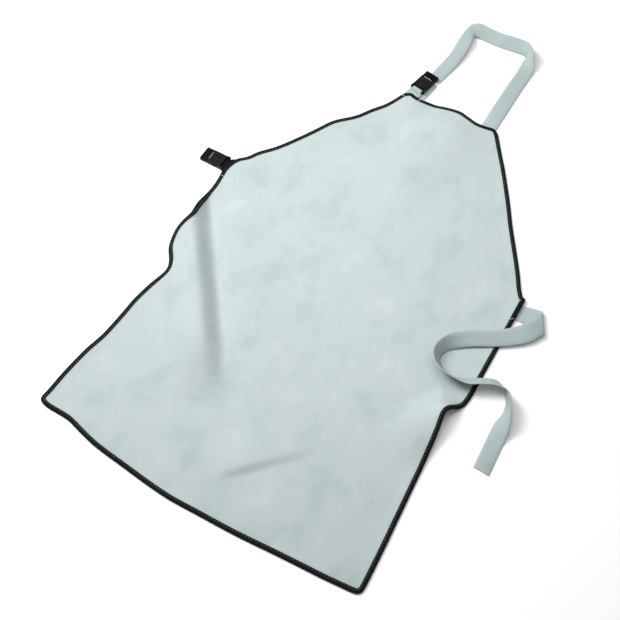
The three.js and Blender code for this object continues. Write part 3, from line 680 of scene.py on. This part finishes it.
def make_strap(name, rows, thickness, step, slot, finish=None):
    """A flat strap through its rows, with rounded edges and nothing below the surface."""
    rows = np.array(rows, float)
    across = np.radians(rows[:, 3])
    lean = np.radians(rows[:, 4])
    way = np.column_stack([np.cos(lean) * np.cos(across), np.cos(lean) * np.sin(across), np.sin(lean)])
    gaps = np.linalg.norm(np.diff(rows[:, :3], axis=0), axis=1)
    parts = np.maximum(np.ceil(gaps / step), STEPS_LEAST).astype(int)
    places = np.concatenate([k + np.arange(n) / n for k, n in enumerate(parts)] + [[len(rows) - 1]])
    at = smooth_rows(np.column_stack([rows[:, :3], way, rows[:, 5]]), places)
    middle = at[:, :3]
    wide = at[:, 3:6] / np.linalg.norm(at[:, 3:6], axis=1)[:, None]
    face = np.cross(np.gradient(middle, axis=0), wide)
    face /= np.linalg.norm(face, axis=1)[:, None]
    half = at[:, 6] / 2

    side, shift, up = strap_section(thickness).T
    offset = half[:, None] * side[None, :] + shift[None, :]
    points = middle[:, None] + offset[:, :, None] * wide[:, None] + up[None, :, None] * face[:, None]
    points[:, :, 2] -= np.minimum(points[:, :, 2].min(axis=1), 0)[:, None]
    travelled = lengths_along(middle)
    uv = np.stack(np.broadcast_arrays(travelled[:, None], offset), axis=-1)
    vertices, faces = swept(points)
    piece = new_piece(name + "_piece", vertices, faces, slot, uv.reshape(-1, 2), finish)
    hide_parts(name)


def tab_rows(place, sewn_width):
    """Rows of a buckle's tab, from its width at the bar to its width at the seam."""
    return along_buckle(place, [(u, 0, height, TAB_AT_BAR + spread * (sewn_width - TAB_AT_BAR))
                                for u, height, spread in TAB])


def make_straps():
    """The two straps and the two tabs."""
    x, y, _, turn_deg = NECK_BUCKLE
    neck_rows = NECK_STRAP + along_buckle((x, y, 0, turn_deg), NECK_TAIL)
    make_strap("neck_strap", neck_rows, STRAP_THICKNESS, STRAP_STEP, "strap_leather")
    make_strap("waist_strap", WAIST_STRAP, STRAP_THICKNESS, STRAP_STEP, "strap_leather")
    neck_tab = tab_rows(NECK_BUCKLE, NECK_TAB_SEWN)
    make_strap("neck_tab", neck_tab, TAB_THICKNESS, TAB_STEP, "strap_leather")
    waist_tab = tab_rows(WAIST_BUCKLE, WAIST_TAB_SEWN)
    make_strap("waist_tab", waist_tab, TAB_THICKNESS, TAB_STEP, "edge_tape", "black_webbing")


def make_buckle_bars():
    """Low ribs over each buckle, and the rim of its socket, painted light as a highlight."""
    up = np.array([0.0, 0.0, 1.0])
    # The rim's light plastic is a painted highlight along the socket's edge.
    sets = [("ribs", "buckle_plastic", BUCKLE_RIBS), ("rim", "rim_painted_highlight", [BUCKLE_RIM])]
    for label, (x, y, z, turn_deg) in (("neck", NECK_BUCKLE), ("waist", WAIST_BUCKLE)):
        turn = math.radians(turn_deg)
        along = np.array([math.cos(turn), math.sin(turn), 0])
        across = np.array([-along[1], along[0], 0])
        start = np.array([x, y, z + BUCKLE_TOP])
        for name, finish, bars in sets:
            solids = [capsule(start + u * along, across, up, 2 * half, radius) for u, half, radius in bars]
            vertices, faces = joined(solids)
            new_piece(f"{label}_buckle_{name}", vertices, faces, "buckle_plastic", finish=finish)


def finish_buckles():
    """Softens the buckles' moulded edges and gives them their plastic."""
    # The plugs get a darker plastic than the sockets, painted shade standing in for the shadows in their
    # slots, which are closed here.
    finishes = {"neck_buckle_socket": "buckle_plastic", "neck_buckle_plug": "plug_plastic_painted_shade",
                "waist_buckle_socket": "buckle_plastic", "waist_buckle_plug": "plug_plastic_painted_shade"}
    for name, finish in finishes.items():
        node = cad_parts[name]
        node.data.materials.clear()
        node.data.materials.append(MATERIALS[finish])
        flats = node.modifiers.new("flats", "DECIMATE")
        flats.decimate_type = "DISSOLVE"
        flats.angle_limit = math.radians(FLAT_ANGLE)
        rounds = node.modifiers.new("rounds", "BEVEL")
        rounds.width = ROUND_WIDTH * MM
        rounds.segments = ROUND_SEGMENTS
        rounds.limit_method = "ANGLE"
        rounds.angle_limit = math.radians(ROUND_ANGLE)


def shader(name, roughness, gloss):
    """A new material and its main shader."""
    material = bpy.data.materials.new(name)
    material.use_nodes = True
    main = material.node_tree.nodes["Principled BSDF"]
    main.inputs["Roughness"].default_value = roughness
    main.inputs["Specular IOR Level"].default_value = gloss
    return material, main


def noise_node(material, scale, detail, stretch=(1, 1, 1), turn=0.0):
    """Noise over the piece, with its scale in repeats for each metre, stretched along a turned way."""
    nodes = material.node_tree.nodes
    links = material.node_tree.links
    place = nodes.new("ShaderNodeTexCoord")
    mapping = nodes.new("ShaderNodeMapping")
    mapping.inputs["Scale"].default_value = stretch
    mapping.inputs["Rotation"].default_value = (0, 0, turn)
    texture = nodes.new("ShaderNodeTexNoise")
    texture.inputs["Scale"].default_value = scale
    texture.inputs["Detail"].default_value = detail
    links.new(place.outputs["Object"], mapping.inputs["Vector"])
    links.new(mapping.outputs["Vector"], texture.inputs["Vector"])
    return texture


def coloured(material, main, pattern, tones):
    """Gives a shader the tones picked by a pattern's value from 0 to 1."""
    links = material.node_tree.links
    ramp = material.node_tree.nodes.new("ShaderNodeValToRGB")
    while len(ramp.color_ramp.elements) < len(tones):
        ramp.color_ramp.elements.new(1.0)
    for element, (position, colour) in zip(ramp.color_ramp.elements, tones):
        element.position = position
        element.color = (*colour, 1)
    links.new(pattern.outputs["Fac"], ramp.inputs["Fac"])
    links.new(ramp.outputs["Color"], main.inputs["Base Color"])


def bumped(material, main, pattern, strength, depth):
    """Adds a bump to a shader from a pattern, with its depth in millimetres."""
    links = material.node_tree.links
    bump = material.node_tree.nodes.new("ShaderNodeBump")
    bump.inputs["Strength"].default_value = strength
    bump.inputs["Distance"].default_value = depth * MM
    links.new(pattern.outputs["Fac"], bump.inputs["Height"])
    links.new(bump.outputs["Normal"], main.inputs["Normal"])


def suede(name, tones, nap_depth):
    """Split leather: brushed patches in close tones and a short nap."""
    material, main = shader(name, roughness=0.92, gloss=0.2)
    brushed = noise_node(material, scale=14, detail=8, stretch=(1, 0.75, 1), turn=0.6)
    brushed.inputs["Roughness"].default_value = 0.66
    brushed.inputs["Distortion"].default_value = 0.15
    coloured(material, main, brushed, tones)
    nap = noise_node(material, scale=700, detail=4)
    bumped(material, main, nap, strength=0.35, depth=nap_depth)
    return material


def thread(name, dark, light):
    """Sewing thread, a little uneven in tone."""
    material, main = shader(name, roughness=0.8, gloss=0.2)
    fleck = noise_node(material, scale=400, detail=2)
    coloured(material, main, fleck, [(0.35, dark), (0.65, light)])
    return material


def woven_tape(name, dark, light):
    """Dark woven tape with fine ribs across it."""
    material, main = shader(name, roughness=0.75, gloss=0.1)
    fleck = noise_node(material, scale=260, detail=4)
    coloured(material, main, fleck, [(0.35, dark), (0.75, light)])
    place = material.node_tree.nodes.new("ShaderNodeTexCoord")
    ribs = material.node_tree.nodes.new("ShaderNodeTexWave")
    ribs.inputs["Scale"].default_value = TAPE_RIBS
    material.node_tree.links.new(place.outputs["UV"], ribs.inputs["Vector"])
    bumped(material, main, ribs, strength=0.5, depth=0.3)
    return material


def moulded_plastic(name, tone, roughness, gloss):
    """Satin plastic with a faint moulded texture and scuffs."""
    material, main = shader(name, roughness, gloss)
    scuff = noise_node(material, scale=120, detail=4)
    coloured(material, main, scuff, [(0.4, [tone] * 3), (0.8, [SCUFF * tone] * 3)])
    grain = noise_node(material, scale=1500, detail=2)
    bumped(material, main, grain, strength=0.15, depth=0.1)
    return material


def floor_with_painted_shade():
    """White paper, painted darker near the apron to deepen the shadows cast there, and paler away from it
    against the lamps' falloff.
    """
    material, main = shader("floor", roughness=0.9, gloss=0.0)
    place = material.node_tree.nodes.new("ShaderNodeTexCoord")
    nearness = material.node_tree.nodes.new("ShaderNodeTexGradient")
    nearness.gradient_type = "SPHERICAL"
    material.node_tree.links.new(place.outputs["Object"], nearness.inputs["Vector"])
    coloured(material, main, nearness, FLOOR_PAINTED_SHADE_TONES)
    return material


def make_camera():
    """The camera that took the photo, as fitted to the apron's corners."""
    azimuth = math.radians(VIEW_AZIMUTH)
    elevation = math.radians(VIEW_ELEVATION)
    back = Vector((math.sin(azimuth) * math.cos(elevation), -math.cos(azimuth) * math.cos(elevation),
                   math.sin(elevation)))
    target = Vector((np.array(VIEW_TARGET) - MIDDLE) * MM)
    data = bpy.data.cameras.new("camera")
    data.sensor_width = SENSOR_WIDTH
    data.lens = SENSOR_WIDTH / 2 / math.tan(math.radians(VIEW_ANGLE) / 2)
    camera = bpy.data.objects.new("camera", data)
    camera.location = target + back * VIEW_DISTANCE * MM
    camera.rotation_euler = (-back).to_track_quat("-Z", "Y").to_euler()
    bpy.context.scene.collection.objects.link(camera)
    bpy.context.scene.camera = camera


def area_light(name, place, aim, size, power):
    """A round soft light at a place, aimed at another."""
    data = bpy.data.lights.new(name, "AREA")
    data.shape = "DISK"
    data.size = size
    data.energy = power
    lamp = bpy.data.objects.new(name, data)
    lamp.location = place
    lamp.rotation_euler = (Vector(aim) - Vector(place)).to_track_quat("-Z", "Y").to_euler()
    bpy.context.scene.collection.objects.link(lamp)


def make_studio():
    """A white floor with painted shade near the apron, a bright room, a large soft light from the left and a
    weak one from above.
    """
    corners = [(-1, -1), (1, -1), (1, 1), (-1, 1)]
    mesh = bpy.data.meshes.new("floor")
    mesh.from_pydata([(FLOOR_HALF * x, FLOOR_HALF * y, 0) for x, y in corners], [], [(0, 1, 2, 3)])
    floor = bpy.data.objects.new("floor", mesh)
    floor.data.materials.append(floor_with_painted_shade())
    bpy.context.scene.collection.objects.link(floor)
    world = bpy.data.worlds.new("studio")
    world.use_nodes = True
    room = world.node_tree.nodes["Background"]
    room.inputs["Color"].default_value = (1, 1, 1, 1)
    room.inputs["Strength"].default_value = ROOM_STRENGTH
    bpy.context.scene.world = world
    for name, light in LIGHTS.items():
        area_light(name, **light)
    bpy.context.scene.view_settings.view_transform = "Standard"


MATERIALS = {
    "hide": suede("hide", HIDE_TONES, nap_depth=0.6),
    "strap_leather": suede("strap_leather", STRAP_TONES, nap_depth=0.5),
    "edge_tape": woven_tape("edge_tape", dark=(0.002, 0.003, 0.003), light=(0.009, 0.0125, 0.012)),
    "black_webbing": woven_tape("black_webbing", dark=(0.002, 0.0022, 0.0022),
                                light=(0.009, 0.0095, 0.0095)),
    "edge_thread": thread("edge_thread", dark=(0.06, 0.075, 0.072), light=(0.15, 0.175, 0.17)),
    "loose_thread": thread("loose_thread", dark=(0.42, 0.47, 0.46), light=(0.60, 0.66, 0.65)),
    "buckle_plastic": moulded_plastic("buckle_plastic", tone=0.005, roughness=0.4, gloss=0.17),
    # Painted shade: the plug is darker than the socket to stand in for the shadows in its slots, which are
    # closed here.
    "plug_plastic_painted_shade": moulded_plastic("plug_plastic_painted_shade", tone=0.0025, roughness=0.45, gloss=0.1),
    # A painted highlight: light grey plastic for the socket's rim.
    "rim_painted_highlight": moulded_plastic("rim_painted_highlight", tone=0.3, roughness=0.3, gloss=0.5),
}

make_camera()
make_studio()
rim, corner_index = rim_table()
reach = rim_reach(rim)
make_apron(rim)
make_tapes(rim, reach, corner_index)
make_stitches(rim, reach, corner_index)
make_straps()
make_buckle_bars()
finish_buckles()
